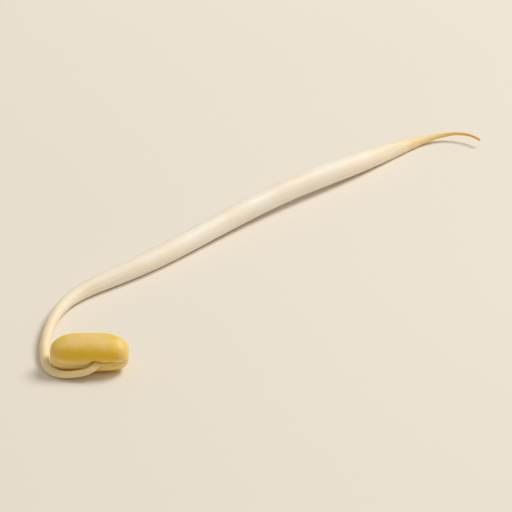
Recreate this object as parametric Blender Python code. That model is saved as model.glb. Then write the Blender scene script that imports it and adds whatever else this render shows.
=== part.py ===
"""A mung bean sprout lying on a flat surface: stem and root, two cotyledons, two first leaves.

Metres, +Z up, floor at z = 0. The sprout lies along X, bean head at -X and root tip at +X.
"""
import math

import bmesh
import bpy
from mathutils import Matrix, Vector

MM = 0.001

# Axis of the sprout, from the neck's tip in the seam of the bean head, round the hook, along the
# stem and out to the root tip: x, y, height of the underside over the floor, radius (mm).
# An underside just below zero is trimmed flat where the stem lies on the floor.
AXIS_POINTS = (
    (-31.96, -5.84, 1.06, 0.30),
    (-32.37, -5.79, 0.84, 0.33),
    (-32.95, -5.30, 0.53, 0.35),
    (-33.8, -4.35, 0.25, 0.37),
    (-34.5, -3.25, 0.05, 0.40),
    (-34.7, -1.9, 0.00, 0.43),
    (-34.1, -0.6, 0.02, 0.46),
    (-32.8, 1.1, 0.10, 0.48),
    (-30.6, 3.2, 0.25, 0.51),
    (-27.4, 5.4, 0.20, 0.62),
    (-24.3, 6.8, 0.00, 0.77),
    (-20.8, 7.0, -0.06, 0.94),
    (-16.5, 6.3, -0.06, 1.09),
    (-11.5, 5.9, -0.06, 1.17),
    (-5.0, 6.0, -0.02, 1.21),
    (3.0, 6.0, 0.30, 1.24),
    (11.0, 5.4, 0.55, 1.25),
    (18.5, 4.7, 0.20, 1.22),
    (24.0, 4.6, -0.06, 1.05),
    (28.0, 4.4, -0.05, 0.72),
    (30.6, 4.0, 0.10, 0.45),
    (32.6, 3.2, 0.40, 0.27),
    (34.2, 1.9, 0.75, 0.20),
    (35.0, 0.2, 0.90, 0.16),
    (34.9, -1.4, 0.80, 0.13),
)
RINGS_PER_SPAN = 4
STEM_SIDES = 16
CAP_ANGLES = (25.0, 50.0, 72.0)
SHARP_ANGLE = 50.0

# Bean head: two cotyledons, one on the other, with the seam between them tipped down
# at the front, where the neck joins.
HEAD_CENTRE = (-30.95, -4.0, 1.90)
HEAD_TURN = -46.0
HEAD_ROLL = 16.0
HEAD_LENGTH = 8.3
HEAD_DEPTH = 4.0
HEAD_HEIGHT = 3.9
HEAD_BLUNTNESS = 3.1
HEAD_BEND = 0.25
SEAM_GAP = 0.08
SEAM_ROUNDING = 0.30
SEAM_SEGMENTS = 3
HEAD_SIDES = 36
HEAD_RINGS = 24

# Hollow in the seam where the neck and the first leaves sit, measured along the head from its middle.
HOLLOW_PLACE = 1.45
HOLLOW_LENGTH = 1.80
HOLLOW_HEIGHT = 0.50
HOLLOW_DEPTH = 0.50

# First leaves, side by side in the hollow, one towards each cotyledon.
LEAF_LENGTH = 1.70
LEAF_WIDTH = 0.62
LEAF_THICKNESS = 0.20
LEAF_START = 1.06
LEAF_SPREAD = 0.28
LEAF_REACH = 1.92
LEAF_DROOP = 3.0
LEAF_TAPER = 0.75
LEAF_SIDES = 16
LEAF_RINGS = 12

IVORY = (0.84, 0.74, 0.56, 1.0)
BEAN_YELLOW = (0.72, 0.46, 0.10, 1.0)
LEAF_CREAM = (0.80, 0.68, 0.30, 1.0)
STEM_ROUGHNESS = 0.42
BEAN_ROUGHNESS = 0.45
LEAF_ROUGHNESS = 0.50


def clear_objects():
    """Empties the file of objects, so the script can be run again."""
    for obj in list(bpy.data.objects):
        bpy.data.objects.remove(obj, do_unlink=True)


def material(name, colour, roughness):
    """A plain plant material."""
    made = bpy.data.materials.new(name)
    made.use_nodes = True
    shader = made.node_tree.nodes["Principled BSDF"]
    shader.inputs["Base Color"].default_value = colour
    shader.inputs["Roughness"].default_value = roughness
    shader.inputs["Metallic"].default_value = 0.0
    return made


def add_object(name, bm, finish):
    """Makes an object from a bmesh measured in millimetres."""
    bmesh.ops.scale(bm, vec=(MM, MM, MM), verts=bm.verts)
    bmesh.ops.recalc_face_normals(bm, faces=bm.faces)
    mesh = bpy.data.meshes.new(name)
    bm.to_mesh(mesh)
    bm.free()
    mesh.shade_smooth()
    mesh.set_sharp_from_angle(angle=math.radians(SHARP_ANGLE))
    mesh.materials.append(finish)
    obj = bpy.data.objects.new(name, mesh)
    bpy.context.scene.collection.objects.link(obj)
    return obj


def spline_value(points, place):
    """Point of the uniform cubic B-spline over the rows of points, which starts and ends on them."""
    last = len(points) - 1
    span = min(int(place), last - 1)
    t = place - span
    weights = (
        (1.0 - t) ** 3 / 6.0,
        (3.0 * t**3 - 6.0 * t**2 + 4.0) / 6.0,
        (-3.0 * t**3 + 3.0 * t**2 + 3.0 * t + 1.0) / 6.0,
        t**3 / 6.0,
    )
    total = [0.0] * len(points[0])
    for offset, weight in zip((-1, 0, 1, 2), weights):
        index = span + offset
        if index < 0:
            row = [2.0 * a - b for a, b in zip(points[0], points[1])]
        elif index > last:
            row = [2.0 * a - b for a, b in zip(points[last], points[last - 1])]
        else:
            row = points[index]
        total = [sum_ + weight * value for sum_, value in zip(total, row)]
    return total


def axis_stations():
    """Centre and radius of each ring along the sprout's axis."""
    spans = len(AXIS_POINTS) - 1
    stations = []
    for step in range(spans * RINGS_PER_SPAN + 1):
        x, y, underside, radius = spline_value(AXIS_POINTS, step / RINGS_PER_SPAN)
        stations.append((Vector((x, y, underside + radius)), radius))
    return stations


def ring_frames(stations):
    """One matrix per ring, turned as little as possible from ring to ring, with local Z along the axis."""
    centres = [centre for centre, _ in stations]
    frames = []
    turn = None
    for index, centre in enumerate(centres):
        before = centres[max(index - 1, 0)]
        after = centres[min(index + 1, len(centres) - 1)]
        along = (after - before).normalized()
        if turn is None:
            turn = along.to_track_quat("Z", "Y")
        else:
            turn = (turn @ Vector((0.0, 0.0, 1.0))).rotation_difference(along) @ turn
        frames.append(Matrix.LocRotScale(centre, turn, None))
    return frames


def extrude_ring(bm, ring, matrix_from, matrix_to):
    """Extrudes the open ring of edges and carries it from one ring's place and size to the next."""
    made = bmesh.ops.extrude_edge_only(bm, edges=ring)["geom"]
    verts = [item for item in made if isinstance(item, bmesh.types.BMVert)]
    bmesh.ops.transform(bm, matrix=matrix_to @ matrix_from.inverted(), verts=verts)
    return [item for item in made if isinstance(item, bmesh.types.BMEdge) and item.is_boundary]


def capped_rings(stations):
    """The rings of the axis with a domed end before the first and after the last."""
    frames = ring_frames(stations)
    sized = [(frame, radius) for frame, (_, radius) in zip(frames, stations)]
    first_frame, first_radius = sized[0]
    last_frame, last_radius = sized[-1]
    start = []
    end = []
    for angle in CAP_ANGLES:
        size = math.cos(math.radians(angle))
        reach = math.sin(math.radians(angle))
        back = Matrix.Translation((0.0, 0.0, -first_radius * reach))
        ahead = Matrix.Translation((0.0, 0.0, last_radius * reach))
        start.insert(0, (first_frame @ back, first_radius * size))
        end.append((last_frame @ ahead, last_radius * size))
    return [frame @ Matrix.Scale(radius, 4) for frame, radius in start + sized + end]


def close_holes(bm):
    """Fills each open ring of edges with a face."""
    bmesh.ops.holes_fill(bm, edges=[edge for edge in bm.edges if edge.is_boundary])


def trim_at_floor(bm):
    """Cuts off what reaches below the floor and closes the cut with flat faces."""
    geometry = bm.verts[:] + bm.edges[:] + bm.faces[:]
    bmesh.ops.bisect_plane(
        bm, geom=geometry, plane_co=(0.0, 0.0, 0.0), plane_no=(0.0, 0.0, -1.0), clear_outer=True
    )
    close_holes(bm)


def make_stem_and_root(finish):
    """The hooked neck, the stem and the root, which grew as one."""
    rings = capped_rings(axis_stations())
    bm = bmesh.new()
    bmesh.ops.create_circle(bm, cap_ends=False, segments=STEM_SIDES, radius=1.0, matrix=rings[0])
    ring = bm.edges[:]
    for matrix_from, matrix_to in zip(rings, rings[1:]):
        ring = extrude_ring(bm, ring, matrix_from, matrix_to)
    close_holes(bm)
    trim_at_floor(bm)
    return add_object("stem_and_root", bm, finish)


def head_matrix():
    """Places the bean head: local X along it, local -Y to its front, where the neck joins."""
    turn = Matrix.Rotation(math.radians(HEAD_TURN), 4, "Z")
    roll = Matrix.Rotation(math.radians(HEAD_ROLL), 4, "X")
    return Matrix.Translation(HEAD_CENTRE) @ turn @ roll


def shape_bean(direction):
    """Point of the whole bean's surface in a direction given on the unit sphere."""
    across = math.hypot(direction.y, direction.z)
    along = abs(direction.x)
    reach = (across**HEAD_BLUNTNESS + along**HEAD_BLUNTNESS) ** (-1.0 / HEAD_BLUNTNESS)
    x = direction.x * reach * HEAD_LENGTH / 2.0
    y = direction.y * reach * HEAD_DEPTH / 2.0
    z = direction.z * reach * HEAD_HEIGHT / 2.0
    if y < 0.0:
        hollow = math.exp(-(((x - HOLLOW_PLACE) / HOLLOW_LENGTH) ** 2) - (z / HOLLOW_HEIGHT) ** 2)
        y += HOLLOW_DEPTH * hollow
    y -= HEAD_BEND * (2.0 * x / HEAD_LENGTH) ** 2
    return Vector((x, y, z))


def make_cotyledon(name, side, finish):
    """Half of the bean, above the seam for side 1 and below it for side -1."""
    bm = bmesh.new()
    lengthwise = Matrix.Rotation(math.radians(90.0), 4, "Y")
    bmesh.ops.create_uvsphere(bm, u_segments=HEAD_SIDES, v_segments=HEAD_RINGS, radius=1.0, matrix=lengthwise)
    for vert in bm.verts:
        vert.co = shape_bean(vert.co)
    geometry = bm.verts[:] + bm.edges[:] + bm.faces[:]
    bmesh.ops.bisect_plane(
        bm,
        geom=geometry,
        plane_co=(0.0, 0.0, side * SEAM_GAP / 2.0),
        plane_no=(0.0, 0.0, float(side)),
        clear_inner=True,
    )
    rim = [edge for edge in bm.edges if edge.is_boundary]
    bmesh.ops.holes_fill(bm, edges=rim)
    bmesh.ops.bevel(
        bm,
        geom=rim,
        offset=SEAM_ROUNDING,
        offset_type="OFFSET",
        affect="EDGES",
        segments=SEAM_SEGMENTS,
        profile=0.5,
        material=-1,
        clamp_overlap=True,
    )
    bmesh.ops.transform(bm, matrix=head_matrix(), verts=bm.verts)
    if side < 0:
        trim_at_floor(bm)
    return add_object(name, bm, finish)


def make_first_leaf(name, side, finish):
    """A small folded leaf in the hollow of the seam, tipped towards one cotyledon."""
    bm = bmesh.new()
    lengthwise = Matrix.Rotation(math.radians(90.0), 4, "Y")
    bmesh.ops.create_uvsphere(bm, u_segments=LEAF_SIDES, v_segments=LEAF_RINGS, radius=0.5, matrix=lengthwise)
    for vert in bm.verts:
        along = vert.co.x + 0.5
        x = LEAF_LENGTH * along
        y = LEAF_WIDTH * vert.co.y * (1.0 - LEAF_TAPER * along**2)
        z = LEAF_THICKNESS * vert.co.z
        vert.co = Vector((x, y, z))
    tip = Matrix.Rotation(math.radians(-side * LEAF_DROOP), 4, "Y")
    place = Matrix.Translation((LEAF_START, -LEAF_REACH, side * LEAF_SPREAD / 2.0))
    bmesh.ops.transform(bm, matrix=head_matrix() @ place @ tip, verts=bm.verts)
    return add_object(name, bm, finish)


def main():
    """Builds the sprout."""
    clear_objects()
    ivory = material("ivory_stem", IVORY, STEM_ROUGHNESS)
    yellow = material("bean_yellow", BEAN_YELLOW, BEAN_ROUGHNESS)
    cream = material("leaf_cream", LEAF_CREAM, LEAF_ROUGHNESS)
    make_stem_and_root(ivory)
    make_cotyledon("upper_cotyledon", 1, yellow)
    make_cotyledon("lower_cotyledon", -1, yellow)
    make_first_leaf("upper_first_leaf", 1, cream)
    make_first_leaf("lower_first_leaf", -1, cream)


main()
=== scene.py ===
import math

import bmesh
import bpy
from mathutils import Matrix, Vector, noise


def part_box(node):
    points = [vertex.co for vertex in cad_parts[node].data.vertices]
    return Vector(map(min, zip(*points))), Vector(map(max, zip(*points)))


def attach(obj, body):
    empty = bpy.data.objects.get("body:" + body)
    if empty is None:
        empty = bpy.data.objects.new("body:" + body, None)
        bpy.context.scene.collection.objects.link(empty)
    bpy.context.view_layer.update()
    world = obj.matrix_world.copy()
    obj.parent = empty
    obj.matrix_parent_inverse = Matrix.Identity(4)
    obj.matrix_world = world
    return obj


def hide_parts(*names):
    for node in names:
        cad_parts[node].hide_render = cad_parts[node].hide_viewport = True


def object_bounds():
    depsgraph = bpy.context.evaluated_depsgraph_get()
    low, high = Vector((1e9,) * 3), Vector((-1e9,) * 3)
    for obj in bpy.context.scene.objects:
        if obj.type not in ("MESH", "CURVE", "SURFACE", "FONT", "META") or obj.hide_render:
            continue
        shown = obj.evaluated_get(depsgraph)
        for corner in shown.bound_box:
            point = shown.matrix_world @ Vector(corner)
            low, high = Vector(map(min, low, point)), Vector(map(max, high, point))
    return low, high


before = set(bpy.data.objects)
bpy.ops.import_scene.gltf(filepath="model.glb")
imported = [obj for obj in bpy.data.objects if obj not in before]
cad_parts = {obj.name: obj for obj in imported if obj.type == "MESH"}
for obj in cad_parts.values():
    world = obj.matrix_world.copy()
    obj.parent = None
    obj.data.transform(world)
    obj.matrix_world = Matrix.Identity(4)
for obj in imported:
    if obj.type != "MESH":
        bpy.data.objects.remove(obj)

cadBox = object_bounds()
mm = 0.001
noiseLow, noiseHigh = 0.3, 0.7  # nearly all of a noise texture lies between these
print("packed model loaded")


def toLinear(hexColour):
    # sRGB hex to the linear values that a shader works in
    channels = [int(hexColour[i : i + 2], 16) / 255 for i in (1, 3, 5)]
    linear = [c / 12.92 if c <= 0.04045 else ((c + 0.055) / 1.055) ** 2.4 for c in channels]
    return (*linear, 1)


def addNode(tree, kind, settings=None, values=None, links=None):
    node = tree.nodes.new(kind)
    for name, value in (settings or {}).items():
        setattr(node, name, value)
    for name, value in (values or {}).items():
        node.inputs[name].default_value = value
    for name, source in (links or {}).items():
        tree.links.new(source, node.inputs[name])
    return node


def fillRamp(ramp, stops, blend="LINEAR"):
    # each stop is a place and either a hex colour or a grey value
    stripe = ramp.color_ramp
    stripe.interpolation = blend
    while len(stripe.elements) < len(stops):
        stripe.elements.new(0.5)
    for element, (place, value) in zip(stripe.elements, stops):
        element.position = place
        element.color = toLinear(value) if isinstance(value, str) else (value, value, value, 1)
    return ramp.outputs["Color"]


def newMaterial(name):
    made = bpy.data.materials.new(name)
    made.use_nodes = True
    return made, made.node_tree, made.node_tree.nodes["Principled BSDF"]


def smoothStep(low, high, value):
    t = min(max((value - low) / (high - low), 0), 1)
    return t * t * (3 - 2 * t)


def finishPiece(name, node, bm, material):
    # millimetres to metres and faces outwards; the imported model's box is the limit, which
    # also presses the underside flat where the sprout lies on the table
    low, high = cadBox
    bmesh.ops.scale(bm, vec=(mm, mm, mm), verts=bm.verts)
    for vert in bm.verts:
        vert.co = [min(max(c, lo), hi) for c, lo, hi in zip(vert.co, low, high)]
    bmesh.ops.recalc_face_normals(bm, faces=bm.faces)
    mesh = bpy.data.meshes.new(name)
    bm.to_mesh(mesh)
    bm.free()
    mesh.shade_smooth()
    mesh.materials.append(material)
    piece = bpy.data.objects.new(name, mesh)
    bpy.context.scene.collection.objects.link(piece)
    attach(piece, "root")
    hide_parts(node)
    print(name, "made with", len(mesh.polygons), "faces")


view = {
    "aimOffset": (-2.4, -0.3),  # mm from the middle of the sprout
    "turn": -46,  # degrees round the sprout; 0 looks along +Y
    "height": 30,  # degrees above the table
    "distance": 300,  # mm
    "lens": 190,  # mm
    "clip": (0.01, 50),  # m, the nearest and farthest that the camera sees
}
middle = Vector([(lo + hi) / 2 for lo, hi in zip(*cadBox)])
target = Vector((middle.x, middle.y, 0)) + Vector((*view["aimOffset"], 0)) * mm


def aimFrom(turn, height):
    # the way back from the target to a camera or light
    a, e = math.radians(turn), math.radians(height)
    return Vector((math.sin(a) * math.cos(e), -math.cos(a) * math.cos(e), math.sin(e)))


cameraData = bpy.data.cameras.new("camera")
cameraData.lens = view["lens"]
cameraData.clip_start, cameraData.clip_end = view["clip"]
camera = bpy.data.objects.new("camera", cameraData)
bpy.context.scene.collection.objects.link(camera)
back = aimFrom(view["turn"], view["height"])
camera.location = target + back * view["distance"] * mm
camera.rotation_euler = back.to_track_quat("Z", "Y").to_euler()
bpy.context.scene.camera = camera

studio = {
    # a large soft light to the right of the camera, a little beyond the sprout
    "keyTurn": 72,  # degrees
    "keyHeight": 50,  # degrees
    "keyDistance": 0.9,  # m
    "keySize": 0.42,  # m
    "keyPower": 5.4,  # W
    "keyColour": "#fffffc",
    # an even light from all round
    "fillColour": "#fff8ec",
    "fillStrength": 0.46,
}
keyData = bpy.data.lights.new("keyLight", "AREA")
keyData.shape = "DISK"
keyData.size = studio["keySize"]
keyData.energy = studio["keyPower"]
keyData.color = toLinear(studio["keyColour"])[:3]
keyLight = bpy.data.objects.new("keyLight", keyData)
bpy.context.scene.collection.objects.link(keyLight)
keyBack = aimFrom(studio["keyTurn"], studio["keyHeight"])
keyLight.location = target + keyBack * studio["keyDistance"]
keyLight.rotation_euler = keyBack.to_track_quat("Z", "Y").to_euler()

world = bpy.data.worlds.new("studio")
bpy.context.scene.world = world
world.use_nodes = True
sky = world.node_tree.nodes["Background"]
sky.inputs["Color"].default_value = toLinear(studio["fillColour"])
sky.inputs["Strength"].default_value = studio["fillStrength"]
bpy.context.scene.view_settings.view_transform = "Standard"
print("camera and lights set")

table = {
    "size": 6.0,  # m
    "light": "#f1eae0",
    "dark": "#eee7dc",
    "patchSize": 0.11,  # m
    "roughness": 0.8,
    "gloss": 0.2,
}


def tableMaterial():
    # painted board: plain and matt, with a faint unevenness in the coat
    made, tree, shader = newMaterial("mattCreamPaint")
    place = addNode(tree, "ShaderNodeTexCoord")
    coat = addNode(
        tree,
        "ShaderNodeTexNoise",
        {},
        {"Scale": 1 / table["patchSize"], "Detail": 3},
        {"Vector": place.outputs["Object"]},
    )
    ramp = addNode(tree, "ShaderNodeValToRGB", links={"Fac": coat.outputs["Fac"]})
    colour = fillRamp(ramp, [(noiseLow, table["dark"]), (noiseHigh, table["light"])])
    tree.links.new(colour, shader.inputs["Base Color"])
    shader.inputs["Roughness"].default_value = table["roughness"]
    shader.inputs["Specular IOR Level"].default_value = table["gloss"]
    return made


bm = bmesh.new()
bmesh.ops.create_grid(bm, x_segments=1, y_segments=1, size=table["size"] / 2)
mesh = bpy.data.meshes.new("table")
bm.to_mesh(mesh)
bm.free()
mesh.materials.append(tableMaterial())
tableTop = bpy.data.objects.new("table", mesh)
bpy.context.scene.collection.objects.link(tableTop)
print("table laid")

head = {
    "lean": (0.14, 0.126),  # mm, how far the bean's own middle is from that of its box
    "turn": -46,  # degrees, the way the bean lies
    "roll": 16,  # degrees that the front of the seam is tipped down
    "length": 8.3,  # mm, and so are the sizes below
    "depth": 4.0,
    "height": 3.9,
    "endBluntness": 3.1,
    "sideBluntness": 2.25,  # 2 is an oval cross-section, more is squarer
    "bend": 0.25,  # how far the ends lean towards the neck's side
    "lumps": [(2.4, 0.060), (0.9, 0.028)],  # size and height
    "wrinkle": (0.77, 0.25, 0.009),  # length, width and height
    "lumpRoom": 0.05,  # taken off all round, so that the lumps fit in the outer size
    "lumpSeed": 11,  # sets the two halves' lumps apart
    "seamGap": 0.02,
    "rimRadius": 0.19,
    "seamWave": 0.07,  # how far the seam wanders up and down
    "seamWaveLength": 7,
    "seamWaveSlant": 0.7,
    "seamWaveReach": 1.2,
    # where the front is hollow, for the neck and for the leaves: place, length, height, depth
    "hollows": [(0.60, 0.60, 0.52, 0.55), (1.9, 1.25, 0.34, 0.42)],
    "cuts": 52,  # of each edge of the cube that the bean is blown up from
}
upperLow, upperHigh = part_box("upper_cotyledon")
lowerLow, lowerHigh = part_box("lower_cotyledon")
headBox = [(a + b + c + d) / 4 / mm for a, b, c, d in zip(upperLow, upperHigh, lowerLow, lowerHigh)]
headCentre = Vector(
    (
        headBox[0] + head["lean"][0],
        headBox[1] + head["lean"][1],
        (upperLow[2] + lowerHigh[2]) / 2 / mm,
    )
)
headTurn = Matrix.Rotation(math.radians(head["turn"]), 4, "Z")
headRoll = Matrix.Rotation(math.radians(head["roll"]), 4, "X")
headMatrix = Matrix.Translation(headCentre) @ headTurn @ headRoll
headAlong = headTurn @ Vector((1, 0, 0))


def beanPoint(direction, side):
    # the surface of the whole bean in one direction, with its rim turned in at the seam
    half = Vector((head["length"], head["depth"], head["height"])) / 2
    half -= Vector((1, 1, 1)) * head["lumpRoom"]
    square, blunt = head["sideBluntness"], head["endBluntness"]
    across = (abs(direction.y) ** square + abs(direction.z) ** square) ** (1 / square)
    reach = (across**blunt + abs(direction.x) ** blunt) ** (-1 / blunt)
    point = Vector([d * reach * h for d, h in zip(direction, half)])
    outward = Vector([p / h**2 for p, h in zip(point, half)]).normalized()
    seed = Vector((0, 0, head["lumpSeed"] * side))
    relief = sum(height * noise.noise(point / size + seed) for size, height in head["lumps"])
    length, width, height = head["wrinkle"]
    folded = Vector((point.x / length, point.y / width, point.z / width))
    point += outward * (relief + height * noise.noise(folded + seed))
    if point.y < 0:
        for place, length, height, depth in head["hollows"]:
            away = ((point.x - place) / length) ** 2 + (point.z / height) ** 2
            point.y += depth * math.exp(-away)
    rise, radius = abs(point.z), head["rimRadius"]
    if rise < radius:
        inset = radius - math.sqrt(radius**2 - (radius - rise) ** 2)
        point -= Vector((outward.x, outward.y, 0)).normalized() * inset
    point.y -= head["bend"] * (2 * point.x / head["length"]) ** 2
    return point


def makeCotyledon(name, node, side, material):
    # half a bean: a finely cut cube blown up to the whole bean, then cut along the seam
    bm = bmesh.new()
    beanPlace = bm.verts.layers.float_vector.new("beanPlace")
    bmesh.ops.create_cube(bm, size=2)
    bmesh.ops.subdivide_edges(bm, edges=bm.edges, cuts=head["cuts"], use_grid_fill=True)
    for vert in bm.verts:
        # evens out the squares of a cube blown up to a ball
        evened = Vector([math.tan(c * math.pi / 4) for c in vert.co])
        vert.co = beanPoint(evened.normalized(), side)
    bmesh.ops.bisect_plane(
        bm,
        geom=bm.verts[:] + bm.edges[:] + bm.faces[:],
        plane_co=(0, 0, side * head["seamGap"] / 2),
        plane_no=(0, 0, side),
        clear_inner=True,
    )
    bmesh.ops.holes_fill(bm, edges=[edge for edge in bm.edges if edge.is_boundary])
    for vert in bm.verts:
        vert[beanPlace] = vert.co
        nearSeam = math.exp(-((vert.co.z / head["seamWaveReach"]) ** 2))
        waves = (vert.co.x + head["seamWaveSlant"] * vert.co.y) / head["seamWaveLength"]
        vert.co.z += head["seamWave"] * nearSeam * math.sin(2 * math.pi * waves)
    bmesh.ops.transform(bm, matrix=headMatrix, verts=bm.verts)
    finishPiece(name, node, bm, material)


beanLook = {
    # share of the way from the seam to the top of the bean, colour there: the bean's own yellow,
    # deep on the flank as painted shade and paler at the rim and top as painted light
    "paintedLightBands": [(0.20, "#fbdb8e"), (0.50, "#f2cc3a"), (0.70, "#f2cc3a"), (1.0, "#f9da8c")],
    "paintedBandReach": (0.35, 2.35),  # mm over the seam
    "unevenness": 0.8,  # mm that the bands wander
    "ends": "#f5d590",  # paler at both ends of the bean: painted light shining through the thin ends
    "endsReach": (2.3, 4.2),  # mm from the middle of the bean
    "endsShare": 0.75,
    "patchSize": 1.8,  # mm
    "grainSize": 0.15,  # mm; the real flesh is finer and would not show
    "grainDepth": 0.02,  # mm
    "grainDarkness": 0.88,  # brightness of the darkest grain
    "grainShare": 0.5,
    "roughness": (0.37, 0.47),
    "scatter": (0.80, 0.70, 0.25),  # how far red, green and blue light travels inside
    "scatterSize": 0.4,  # mm
    "scatterShare": 1.0,
    "ior": 1.42,
}


def beanMaterial():
    # seed leaf full of starch: dense and waxy, with a fine mealy grain; its colour bands are
    # painted light and shade: a paler top as painted light where the lamp falls, a deep yellow
    # flank as painted shade, a paler rim at the seam as painted light bounced up from the table,
    # and paler ends as painted light shining through the thin ends
    look = beanLook
    made, tree, shader = newMaterial("waxyBeanFlesh")
    place = addNode(tree, "ShaderNodeAttribute", {"attribute_name": "beanPlace"})
    parts = addNode(tree, "ShaderNodeSeparateXYZ", links={"Vector": place.outputs["Vector"]})
    rise = addNode(tree, "ShaderNodeMath", {"operation": "ABSOLUTE"}, links={0: parts.outputs["Z"]})
    patches = addNode(
        tree,
        "ShaderNodeTexNoise",
        {},
        {"Scale": 1 / look["patchSize"], "Detail": 3, "Roughness": 0.5},
        {"Vector": place.outputs["Vector"]},
    )
    uneven = addNode(
        tree,
        "ShaderNodeMath",
        {"operation": "MULTIPLY_ADD"},
        {1: look["unevenness"]},
        {0: patches.outputs["Fac"], 2: rise.outputs["Value"]},
    )
    low, high = look["paintedBandReach"]
    height = addNode(
        tree,
        "ShaderNodeMapRange",
        {},
        {"From Min": low, "From Max": high},
        {"Value": uneven.outputs["Value"]},
    )
    # painted light and shade by height over the seam: pale rim, deep yellow flank as painted shade,
    # pale top as painted light
    paintedLightBands = addNode(tree, "ShaderNodeValToRGB", links={"Fac": height.outputs["Result"]})
    reach = addNode(
        tree, "ShaderNodeMath", {"operation": "ABSOLUTE"}, links={0: parts.outputs["X"]}
    )
    # paler towards both ends: painted light shining through the thin ends
    low, high = look["endsReach"]
    ends = addNode(
        tree,
        "ShaderNodeMapRange",
        {"interpolation_type": "SMOOTHSTEP"},
        {"From Min": low, "From Max": high, "To Max": look["endsShare"]},
        {"Value": reach.outputs["Value"]},
    )
    tinted = addNode(
        tree,
        "ShaderNodeMix",
        {"data_type": "RGBA"},
        {"B": toLinear(look["ends"])},
        {"Factor": ends.outputs["Result"], "A": fillRamp(paintedLightBands, look["paintedLightBands"], "EASE")},
    )
    grain = addNode(
        tree,
        "ShaderNodeTexNoise",
        {},
        {"Scale": 1 / look["grainSize"], "Detail": 4, "Roughness": 0.6},
        {"Vector": place.outputs["Vector"]},
    )
    grainRamp = addNode(tree, "ShaderNodeValToRGB", links={"Fac": grain.outputs["Fac"]})
    grained = addNode(
        tree,
        "ShaderNodeMix",
        {"data_type": "RGBA", "blend_type": "MULTIPLY"},
        {"Factor": look["grainShare"]},
        {
            "A": tinted.outputs["Result"],
            "B": fillRamp(grainRamp, [(noiseLow, look["grainDarkness"]), (noiseHigh, 1.0)]),
        },
    )
    tree.links.new(grained.outputs["Result"], shader.inputs["Base Color"])
    bump = addNode(
        tree,
        "ShaderNodeBump",
        {},
        {"Strength": 0.5, "Distance": look["grainDepth"] * mm},
        {"Height": grain.outputs["Fac"]},
    )
    tree.links.new(bump.outputs["Normal"], shader.inputs["Normal"])
    low, high = look["roughness"]
    wax = addNode(
        tree,
        "ShaderNodeMapRange",
        {},
        {"From Min": noiseLow, "From Max": noiseHigh, "To Min": low, "To Max": high},
        {"Value": patches.outputs["Fac"]},
    )
    tree.links.new(wax.outputs["Result"], shader.inputs["Roughness"])
    shader.inputs["IOR"].default_value = look["ior"]
    shader.inputs["Subsurface Weight"].default_value = look["scatterShare"]
    shader.inputs["Subsurface Radius"].default_value = look["scatter"]
    shader.inputs["Subsurface Scale"].default_value = look["scatterSize"] * mm
    return made


beanFlesh = beanMaterial()
makeCotyledon("upperCotyledon", "upper_cotyledon", 1, beanFlesh)
makeCotyledon("lowerCotyledon", "lower_cotyledon", -1, beanFlesh)

stem = {
    # x, y, height of the underside over the table, radius (mm), from the seam to the root tip;
    # where the height is below 0 the stem is pressed flat
    "axis": [
        (-31.33, -5.55, 1.14, 0.28),
        (-31.96, -5.84, 1.06, 0.30),
        (-32.37, -5.79, 0.84, 0.33),
        (-32.95, -5.30, 0.53, 0.35),
        (-33.8, -4.35, 0.25, 0.37),
        (-34.5, -3.25, 0.05, 0.40),
        (-34.7, -1.9, 0.00, 0.43),
        (-34.1, -0.6, 0.02, 0.46),
        (-32.8, 1.1, 0.10, 0.48),
        (-30.6, 3.2, 0.25, 0.51),
        (-27.4, 5.4, 0.20, 0.62),
        (-24.3, 6.8, 0.00, 0.77),
        (-20.8, 7.0, -0.06, 0.94),
        (-16.5, 6.3, -0.06, 1.09),
        (-11.5, 5.9, -0.06, 1.17),
        (-5.0, 6.0, -0.02, 1.21),
        (3.0, 6.0, 0.30, 1.24),
        (11.0, 5.4, 0.55, 1.25),
        (18.5, 4.7, 0.20, 1.22),
        (24.0, 4.6, -0.06, 1.05),
        (28.0, 4.4, -0.05, 0.72),
        (30.6, 4.0, 0.10, 0.45),
        (32.6, 3.2, 0.40, 0.27),
        (34.2, 1.9, 0.75, 0.20),
        (35.0, 0.2, 0.90, 0.16),
        (34.9, -1.4, 0.80, 0.13),
    ],
    "stepsPerSpan": 60,
    "ringSpacing": 0.17,  # mm along the axis
    "capRings": 7,
    "capAngle": 88,  # degrees from the cap's foot to its last ring
    "sides": 56,
    # the skin: shares of the radius
    "skinInset": 0.015,
    "ovalness": 0.030,
    "swelling": 0.022,
    "rootKnobs": 0.11,
    "ovalTurn": 0.05,  # radians that the oval turns in a mm
    # noise on the skin: lobes round the stem, length (mm), seed
    "swellingNoise": (0, 6.2, 3),
    "knobNoise": (1.4, 0.67, 90),
    "broadNoise": (1.9, 11, 0),
    "fineNoise": (5.5, 4.5, 40),
    "wobbleNoise": (1, 1.2, 0),
    "noiseStart": (0.4, 0.7),  # off the whole numbers, where the noise is always 0
    "broadFurrow": 0.0168,  # mm deep, and so are the depths and lengths below
    "fineFurrow": 0.0112,
    "thickStem": 0.8,  # radius from which the furrows are full
    "creaseDepth": 0.011,  # cross creases inside the hook
    "creaseSpacing": 0.55,
    "creaseWobble": 0.6,  # share of the spacing
    "creaseCrest": 0.3,  # share of the depth at which the skin between two creases is flat
    "creaseBow": 0.02,  # bow of the axis from which the creases are full
    "bowRings": 4,  # rings on each side over which the bow is measured
    "hookEnd": (11, 19),  # along the axis, where the hook straightens out
    "rootStart": (67, 73),  # along the axis, where the stem gives way to the root
    "nodeEnd": (0.2, 1.3),  # along the axis, where the wide end at the head narrows
    "nodeSpread": 0.75,  # how much wider the neck is where it joins the head
}


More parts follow.
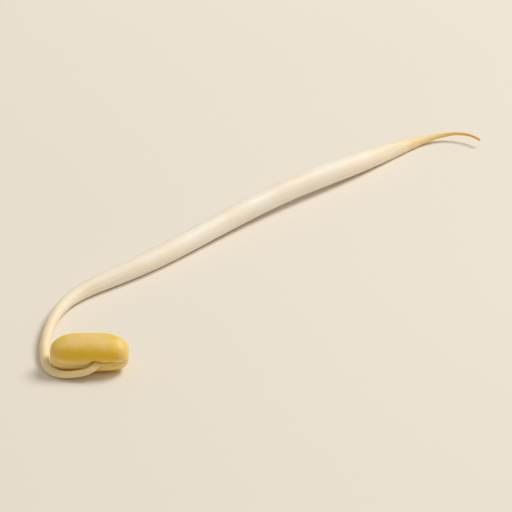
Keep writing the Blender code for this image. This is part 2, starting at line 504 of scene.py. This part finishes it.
def splinePoint(points, place):
    # uniform cubic B-spline over the rows of points, starting and ending on them
    last = len(points) - 1
    span = min(int(place), last - 1)
    t = place - span
    weights = (
        (1 - t) ** 3 / 6,
        (3 * t**3 - 6 * t**2 + 4) / 6,
        (-3 * t**3 + 3 * t**2 + 3 * t + 1) / 6,
        t**3 / 6,
    )
    total = [0] * len(points[0])
    for offset, weight in zip((-1, 0, 1, 2), weights):
        index = span + offset
        if index < 0:
            row = [2 * a - b for a, b in zip(points[0], points[1])]
        elif index > last:
            row = [2 * a - b for a, b in zip(points[last], points[last - 1])]
        else:
            row = points[index]
        total = [value + weight * part for value, part in zip(total, row)]
    return total


def stemStations():
    # centre, radius and length so far, every ringSpacing along the axis
    fine = []
    steps = stem["stepsPerSpan"]
    for i in range((len(stem["axis"]) - 1) * steps + 1):
        x, y, underside, radius = splinePoint(stem["axis"], i / steps)
        fine.append((Vector((x, y, underside + radius)), radius))
    stations = [(*fine[0], 0)]
    length = 0
    for (before, _), (point, radius) in zip(fine, fine[1:]):
        length += (point - before).length
        if length - stations[-1][2] >= stem["ringSpacing"]:
            stations.append((point, radius, length))
    return stations


def stemRings():
    # a least-twist place, radius, length so far and the way into the bend for each ring
    stations = stemStations()
    rings = []
    turn = None
    last = len(stations) - 1
    bow = stem["bowRings"]
    for i, (point, radius, length) in enumerate(stations):
        ahead = (stations[min(i + 1, last)][0] - stations[max(i - 1, 0)][0]).normalized()
        if turn is None:
            turn = ahead.to_track_quat("Z", "Y")
        else:
            turn = (turn @ Vector((0, 0, 1))).rotation_difference(ahead) @ turn
        before, after = stations[max(i - bow, 0)][0], stations[min(i + bow, last)][0]
        inward = (before + after) / 2 - point
        rings.append((Matrix.LocRotScale(point, turn, None), radius, length, inward))
    # round caps at both ends
    starts, ends = rings[0], rings[-1]
    for i in range(stem["capRings"]):
        angle = math.radians(stem["capAngle"]) * (i + 1) / stem["capRings"]
        size, reach = math.cos(angle), math.sin(angle)
        place, radius, length, inward = starts
        back = Matrix.Translation((0, 0, -radius * reach))
        rings.insert(0, (place @ back, radius * size, length - radius * reach, inward))
        place, radius, length, inward = ends
        ahead = Matrix.Translation((0, 0, radius * reach))
        rings.append((place @ ahead, radius * size, length + radius * reach, inward))
    return rings


def roundNoise(angle, length, lobes, spacing, seed):
    # smooth noise round and along the stem, without a join
    startX, startY = stem["noiseStart"]
    x = lobes * math.cos(angle) + startX
    y = lobes * math.sin(angle) + startY
    return noise.noise(Vector((x, y, length / spacing + seed)))


def skinRelief(angle, length, radius, facing):
    # how far the skin stands above or below the plain tube, in mm
    oval = stem["ovalness"] * math.cos(2 * angle + stem["ovalTurn"] * length)
    swell = stem["swelling"] * roundNoise(angle, length, *stem["swellingNoise"])
    inRoot = smoothStep(*stem["rootStart"], length)
    knobs = inRoot * stem["rootKnobs"] * roundNoise(angle, length, *stem["knobNoise"])
    broad = stem["broadFurrow"] * roundNoise(angle, length, *stem["broadNoise"])
    fine = stem["fineFurrow"] * roundNoise(angle, length, *stem["fineNoise"])
    furrows = (broad + fine) * min(radius / stem["thickStem"], 1)
    inHook = 1 - smoothStep(*stem["hookEnd"], length)
    wobble = stem["creaseWobble"] * roundNoise(angle, length, *stem["wobbleNoise"])
    wave = math.sin(2 * math.pi * (length / stem["creaseSpacing"] + wobble))
    crease = stem["creaseDepth"] * inHook * max(facing, 0) * min(wave, stem["creaseCrest"])
    return radius * (oval + swell + knobs - stem["skinInset"]) + furrows + crease


def makeStem(material):
    # a circle pulled along the axis ring by ring, with the skin's relief put on afterwards
    rings = stemRings()
    total = rings[-1][2]
    bm = bmesh.new()
    skinPlace = bm.verts.layers.float_vector.new("skinPlace")
    along = bm.verts.layers.float.new("along")
    matrices = [place @ Matrix.Scale(radius, 4) for place, radius, _, _ in rings]
    made = bmesh.ops.create_circle(bm, segments=stem["sides"], radius=1, matrix=matrices[0])
    ringVerts = [made["verts"]]
    edges = bm.edges[:]
    for before, after in zip(matrices, matrices[1:]):
        made = bmesh.ops.extrude_edge_only(bm, edges=edges)["geom"]
        verts = [item for item in made if isinstance(item, bmesh.types.BMVert)]
        bmesh.ops.transform(bm, matrix=after @ before.inverted(), verts=verts)
        edges = [item for item in made if isinstance(item, bmesh.types.BMEdge) and item.is_boundary]
        ringVerts.append(verts)
    bmesh.ops.holes_fill(bm, edges=[edge for edge in bm.edges if edge.is_boundary])
    for verts, (place, radius, length, inward) in zip(ringVerts, rings):
        toLocal = place.inverted()
        spread = stem["nodeSpread"] * (1 - smoothStep(*stem["nodeEnd"], length))
        for vert in verts:
            local = toLocal @ vert.co
            angle = math.atan2(local.y, local.x)
            outward = (vert.co - place.translation).normalized()
            facing = min(outward.dot(inward) / stem["creaseBow"], 1)
            vert.co += outward * skinRelief(angle, length, radius, facing)
            sideways = (vert.co - place.translation).dot(headAlong)
            vert.co += headAlong * sideways * spread
            vert[skinPlace] = (radius * math.cos(angle), radius * math.sin(angle), length)
            vert[along] = length / total
    finishPiece("stemAndRoot", "stem_and_root", bm, material)


stemLook = {
    # share of the length from the head, colour of the skin there
    "colours": [
        (0.0, "#f4dea6"),
        (0.07, "#f5e4b8"),
        (0.18, "#f8ead2"),
        (0.30, "#fbf0e2"),
        (0.72, "#fcf2e7"),
        (0.84, "#faebd6"),
        (0.90, "#f3dfac"),
        (0.96, "#ebc873"),
        (1.0, "#dfb054"),
    ],
    "streakColour": "#f4e1c4",  # clearer, yellower tissue
    "streakShare": 0.35,
    "streakFade": (0.45, 0.75),  # where in the noise a streak starts and is full
    "streakWidth": 0.30,  # mm
    "streakLength": 6,  # mm
    "cloudColour": "#f9ead6",  # faint broad patches
    "cloudShare": 0.4,
    "cloudFade": (0.40, 0.75),
    "cloudSize": 4,  # mm
    "cellWidth": 0.12,  # mm; real skin cells are 0.03 mm wide and would not show
    "cellLength": 0.9,  # mm
    "cellDepth": 0.012,  # mm
    "roughness": (0.44, 0.56),
    "scatter": (1.0, 0.85, 0.60),  # how far red, green and blue light travels inside
    "scatterSize": 0.5,  # mm
    "scatterShare": 0.7,
    "ior": 1.38,
}


def stemMaterial():
    # living stem tissue: watery and milky, light goes through the thin edges and turns warm,
    # under a smooth waxy skin with faint streaks where rows of cells run lengthwise
    look = stemLook
    streakStart, streakFull = look["streakFade"]
    cloudStart, cloudFull = look["cloudFade"]
    made, tree, shader = newMaterial("milkyStemTissue")
    along = addNode(tree, "ShaderNodeAttribute", {"attribute_name": "along"})
    skin = addNode(tree, "ShaderNodeAttribute", {"attribute_name": "skinPlace"})
    colour = addNode(tree, "ShaderNodeValToRGB", links={"Fac": along.outputs["Fac"]})
    streakPlace = addNode(
        tree,
        "ShaderNodeMapping",
        {},
        {"Scale": (1, 1, look["streakWidth"] / look["streakLength"])},
        {"Vector": skin.outputs["Vector"]},
    )
    streaks = addNode(
        tree,
        "ShaderNodeTexNoise",
        {},
        {"Scale": 1 / look["streakWidth"], "Detail": 4, "Roughness": 0.55},
        {"Vector": streakPlace.outputs["Vector"]},
    )
    streakRamp = addNode(tree, "ShaderNodeValToRGB", links={"Fac": streaks.outputs["Fac"]})
    streaked = addNode(
        tree,
        "ShaderNodeMix",
        {"data_type": "RGBA", "blend_type": "MULTIPLY"},
        {"B": toLinear(look["streakColour"])},
        {
            "Factor": fillRamp(streakRamp, [(streakStart, 0), (streakFull, look["streakShare"])]),
            "A": fillRamp(colour, look["colours"]),
        },
    )
    clouds = addNode(
        tree,
        "ShaderNodeTexNoise",
        {},
        {"Scale": 1 / look["cloudSize"], "Detail": 2},
        {"Vector": skin.outputs["Vector"]},
    )
    cloudRamp = addNode(tree, "ShaderNodeValToRGB", links={"Fac": clouds.outputs["Fac"]})
    clouded = addNode(
        tree,
        "ShaderNodeMix",
        {"data_type": "RGBA", "blend_type": "MULTIPLY"},
        {"B": toLinear(look["cloudColour"])},
        {
            "Factor": fillRamp(cloudRamp, [(cloudStart, 0), (cloudFull, look["cloudShare"])]),
            "A": streaked.outputs["Result"],
        },
    )
    tree.links.new(clouded.outputs["Result"], shader.inputs["Base Color"])
    cellPlace = addNode(
        tree,
        "ShaderNodeMapping",
        {},
        {"Scale": (1, 1, look["cellWidth"] / look["cellLength"])},
        {"Vector": skin.outputs["Vector"]},
    )
    cells = addNode(
        tree,
        "ShaderNodeTexNoise",
        {},
        {"Scale": 1 / look["cellWidth"], "Detail": 2},
        {"Vector": cellPlace.outputs["Vector"]},
    )
    bump = addNode(
        tree,
        "ShaderNodeBump",
        {},
        {"Strength": 0.5, "Distance": look["cellDepth"] * mm},
        {"Height": cells.outputs["Fac"]},
    )
    tree.links.new(bump.outputs["Normal"], shader.inputs["Normal"])
    low, high = look["roughness"]
    sheen = addNode(
        tree,
        "ShaderNodeMapRange",
        {},
        {"From Min": noiseLow, "From Max": noiseHigh, "To Min": low, "To Max": high},
        {"Value": clouds.outputs["Fac"]},
    )
    tree.links.new(sheen.outputs["Result"], shader.inputs["Roughness"])
    shader.inputs["IOR"].default_value = look["ior"]
    shader.inputs["Subsurface Weight"].default_value = look["scatterShare"]
    shader.inputs["Subsurface Radius"].default_value = look["scatter"]
    shader.inputs["Subsurface Scale"].default_value = look["scatterSize"] * mm
    return made


makeStem(stemMaterial())

leaf = {
    "length": 2.05,  # mm, and so are the sizes below
    "width": 0.70,
    "thickness": 0.16,  # at the midrib; the edges are thin
    "start": 0.80,  # along the head from its middle
    "reach": 1.76,  # towards the neck's side
    "lift": 0.09,  # above or below the seam
    "fold": 0.10,  # how far the edges bend back from the midrib
    "curl": 0.10,  # how far the tip turns away from the seam
    "sweep": 0.14,  # how far the tip turns back towards the head
    "veinRise": 0.010,
    "veins": 7,  # pairs of side veins
    "veinSlant": 0.45,  # share of the leaf's length
    "fullness": 2.2,  # of the outline, and how fast it narrows to each end
    "baseTaper": 0.8,
    "tipTaper": 0.75,
    "sides": 48,
    "rings": 64,
}


def makeLeaf(name, node, side, material):
    # a ball drawn out to a folded blade, which closes to a point at both ends
    bm = bmesh.new()
    leafPlace = bm.verts.layers.float_vector.new("leafPlace")
    bmesh.ops.create_uvsphere(
        bm,
        u_segments=leaf["sides"],
        v_segments=leaf["rings"],
        radius=1,
        matrix=Matrix.Rotation(math.pi / 2, 4, "Y"),
    )
    for vert in bm.verts:
        # u runs from base to tip, v from edge to edge and t from face to face
        u = math.acos(min(max(-vert.co.x, -1), 1)) / math.pi
        ring = max(math.hypot(vert.co.y, vert.co.z), 1e-6)  # not 0 at the two tips
        v, t = vert.co.y / ring, vert.co.z / ring
        outline = leaf["fullness"] * u ** leaf["baseTaper"] * (1 - u) ** leaf["tipTaper"]
        waves = leaf["veins"] * (u - leaf["veinSlant"] * abs(v))
        vein = leaf["veinRise"] * max(math.sin(2 * math.pi * waves), 0) * (1 - v * v) * outline
        thickness = leaf["thickness"] / 2 * t * min(outline, 1) ** 0.5 + math.copysign(vein, t)
        vert.co = (
            leaf["length"] * u,
            leaf["width"] / 2 * v * outline + leaf["sweep"] * u * u,
            thickness + side * (leaf["curl"] * u**3 - leaf["fold"] * abs(v) ** 1.5 * outline),
        )
        vert[leafPlace] = (u, v, 0)
    place = Matrix.Translation((leaf["start"], -leaf["reach"], side * leaf["lift"]))
    bmesh.ops.transform(bm, matrix=headMatrix @ place, verts=bm.verts)
    finishPiece(name, node, bm, material)


leafLook = {
    "midrib": "#ffeec2",
    "base": "#fcde9c",
    "tip": "#f6d080",
    "vein": "#fdeabb",
    "baseToTip": (0.1, 0.9),  # share of the length where the colour changes
    "veinShare": 0.55,
    "veinFade": (0.5, 1.0),  # height of the ribs' wave where a vein starts and is full
    "midribShare": 0.8,
    "midribFade": (0.05, 0.22),  # share of the half width where the midrib fades
    "roughness": (0.38, 0.46),
    "scatter": (1.0, 0.8, 0.3),
    "scatterSize": 0.2,  # mm
    "scatterShare": 0.8,
    "ior": 1.40,
}


def leafMaterial():
    # leaf that has seen no light: thin, pale and yellowish, with a lighter midrib and side
    # veins that shine a little more than the blade between them
    look = leafLook
    baseEnd, tipStart = look["baseToTip"]
    veinStart, veinFull = look["veinFade"]
    midribFull, midribEnd = look["midribFade"]
    made, tree, shader = newMaterial("paleLeafBlade")
    place = addNode(tree, "ShaderNodeAttribute", {"attribute_name": "leafPlace"})
    parts = addNode(tree, "ShaderNodeSeparateXYZ", links={"Vector": place.outputs["Vector"]})
    ramp = addNode(tree, "ShaderNodeValToRGB", links={"Fac": parts.outputs["X"]})
    sideways = addNode(
        tree, "ShaderNodeMath", {"operation": "ABSOLUTE"}, links={0: parts.outputs["Y"]}
    )
    slant = addNode(
        tree,
        "ShaderNodeMath",
        {"operation": "MULTIPLY_ADD"},
        {1: -leaf["veinSlant"]},
        {0: sideways.outputs["Value"], 2: parts.outputs["X"]},
    )
    wave = addNode(
        tree,
        "ShaderNodeMath",
        {"operation": "MULTIPLY"},
        {1: 2 * math.pi * leaf["veins"]},
        {0: slant.outputs["Value"]},
    )
    ribs = addNode(tree, "ShaderNodeMath", {"operation": "SINE"}, links={0: wave.outputs["Value"]})
    veinRamp = addNode(tree, "ShaderNodeValToRGB", links={"Fac": ribs.outputs["Value"]})
    veined = addNode(
        tree,
        "ShaderNodeMix",
        {"data_type": "RGBA"},
        {"B": toLinear(look["vein"])},
        {
            "Factor": fillRamp(veinRamp, [(veinStart, 0), (veinFull, look["veinShare"])]),
            "A": fillRamp(ramp, [(baseEnd, look["base"]), (tipStart, look["tip"])]),
        },
    )
    midribRamp = addNode(tree, "ShaderNodeValToRGB", links={"Fac": sideways.outputs["Value"]})
    ribbed = addNode(
        tree,
        "ShaderNodeMix",
        {"data_type": "RGBA"},
        {"B": toLinear(look["midrib"])},
        {
            "Factor": fillRamp(midribRamp, [(midribFull, look["midribShare"]), (midribEnd, 0)]),
            "A": veined.outputs["Result"],
        },
    )
    tree.links.new(ribbed.outputs["Result"], shader.inputs["Base Color"])
    shiny, dull = look["roughness"]
    polish = addNode(
        tree,
        "ShaderNodeMapRange",
        {},
        {"From Min": -1, "From Max": 1, "To Min": dull, "To Max": shiny},
        {"Value": ribs.outputs["Value"]},
    )
    tree.links.new(polish.outputs["Result"], shader.inputs["Roughness"])
    shader.inputs["IOR"].default_value = look["ior"]
    shader.inputs["Subsurface Weight"].default_value = look["scatterShare"]
    shader.inputs["Subsurface Radius"].default_value = look["scatter"]
    shader.inputs["Subsurface Scale"].default_value = look["scatterSize"] * mm
    return made


leafBlade = leafMaterial()
makeLeaf("upperFirstLeaf", "upper_first_leaf", 1, leafBlade)
makeLeaf("lowerFirstLeaf", "lower_first_leaf", -1, leafBlade)
